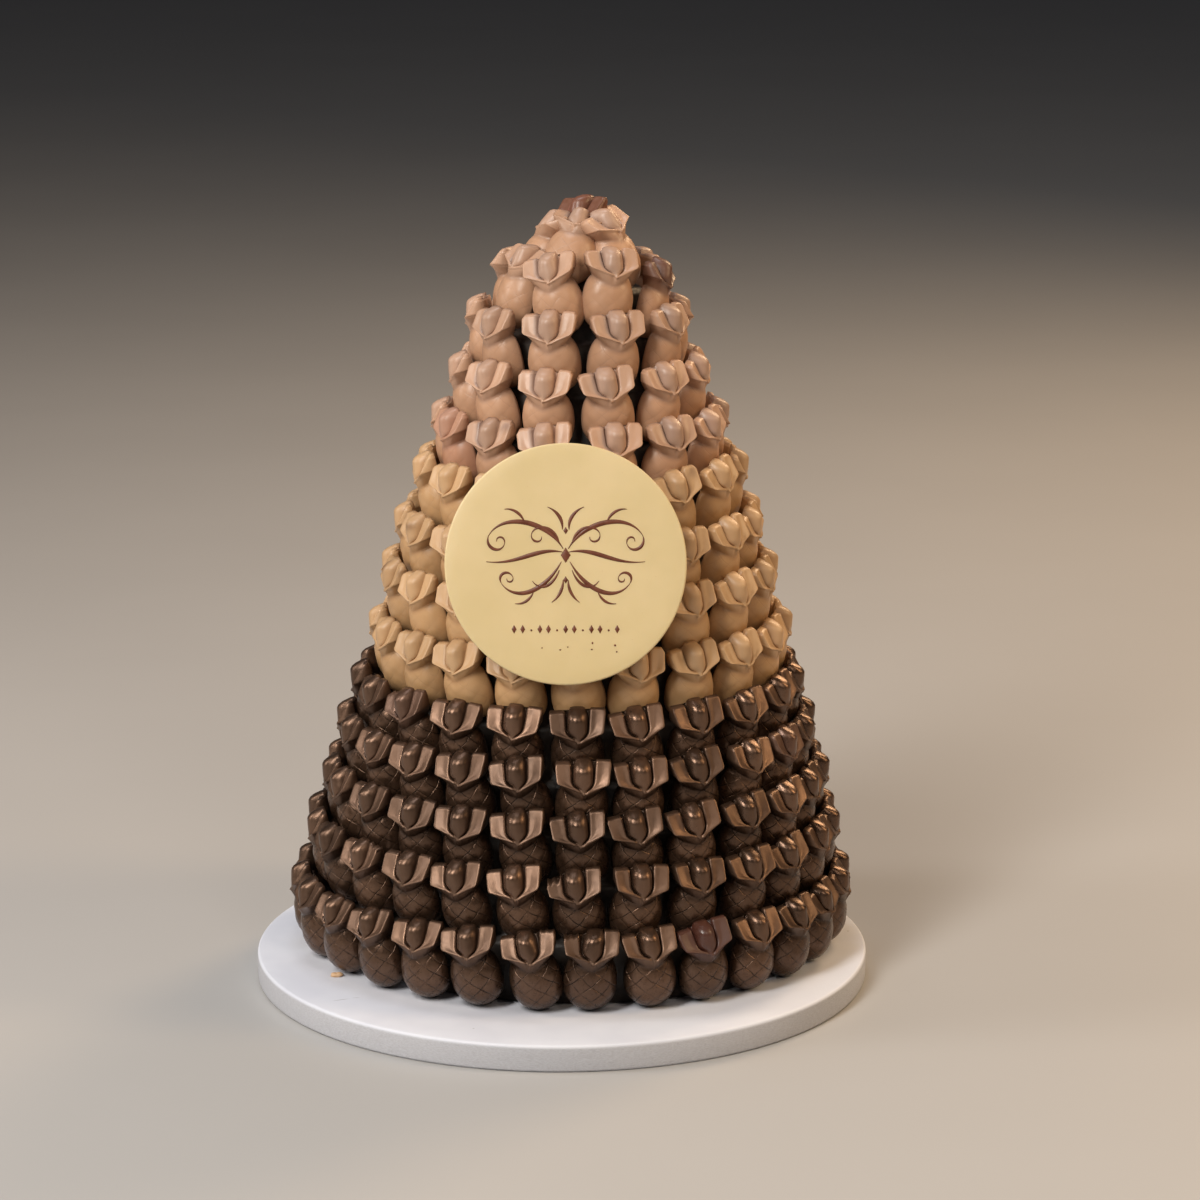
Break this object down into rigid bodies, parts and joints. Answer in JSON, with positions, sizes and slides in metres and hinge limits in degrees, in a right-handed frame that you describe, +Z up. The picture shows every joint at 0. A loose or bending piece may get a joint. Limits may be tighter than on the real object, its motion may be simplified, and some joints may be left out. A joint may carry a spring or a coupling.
{
  "type": "chocolate pyramid",
  "caption": "Tall cone of moulded pineapple chocolates in dark, blond and milk rings on a round white board, with a pale disc plaque leaning on its front.",
  "frame": {"origin": "centre of the board's underside", "axes": "+Z up, -Y towards the front that carries the plaque, +X to the right seen from the front"},
  "size_m": [0.3, 0.3, 0.3802],
  "materials": {
    "board_white": "matte white foil-free board, slightly grainy edge",
    "white_chocolate": "satin cream white chocolate",
    "dark_chocolate": "dark chocolate with a satin bronze lustre",
    "blond_chocolate": "satin caramel blond chocolate",
    "milk_chocolate": "satin milk chocolate",
    "red_brown_chocolate": "satin reddish brown chocolate"
  },
  "bodies": {
    "root": {"board": "board_white", "plaque": "white_chocolate", "dark_tier_1": "dark_chocolate", "dark_tier_2": "dark_chocolate", "dark_tier_3": "dark_chocolate", "dark_tier_4": "dark_chocolate", "dark_tier_5": "dark_chocolate", "blond_tier_1": "blond_chocolate", "blond_tier_2": "blond_chocolate", "blond_tier_3": "blond_chocolate", "blond_tier_4": "blond_chocolate", "milk_tier_1": "milk_chocolate", "milk_tier_2": "milk_chocolate", "milk_tier_3": "milk_chocolate", "milk_tier_4": "milk_chocolate", "milk_tier_5": "milk_chocolate", "top_pineapple": "red_brown_chocolate"}
  },
  "joints": []
}
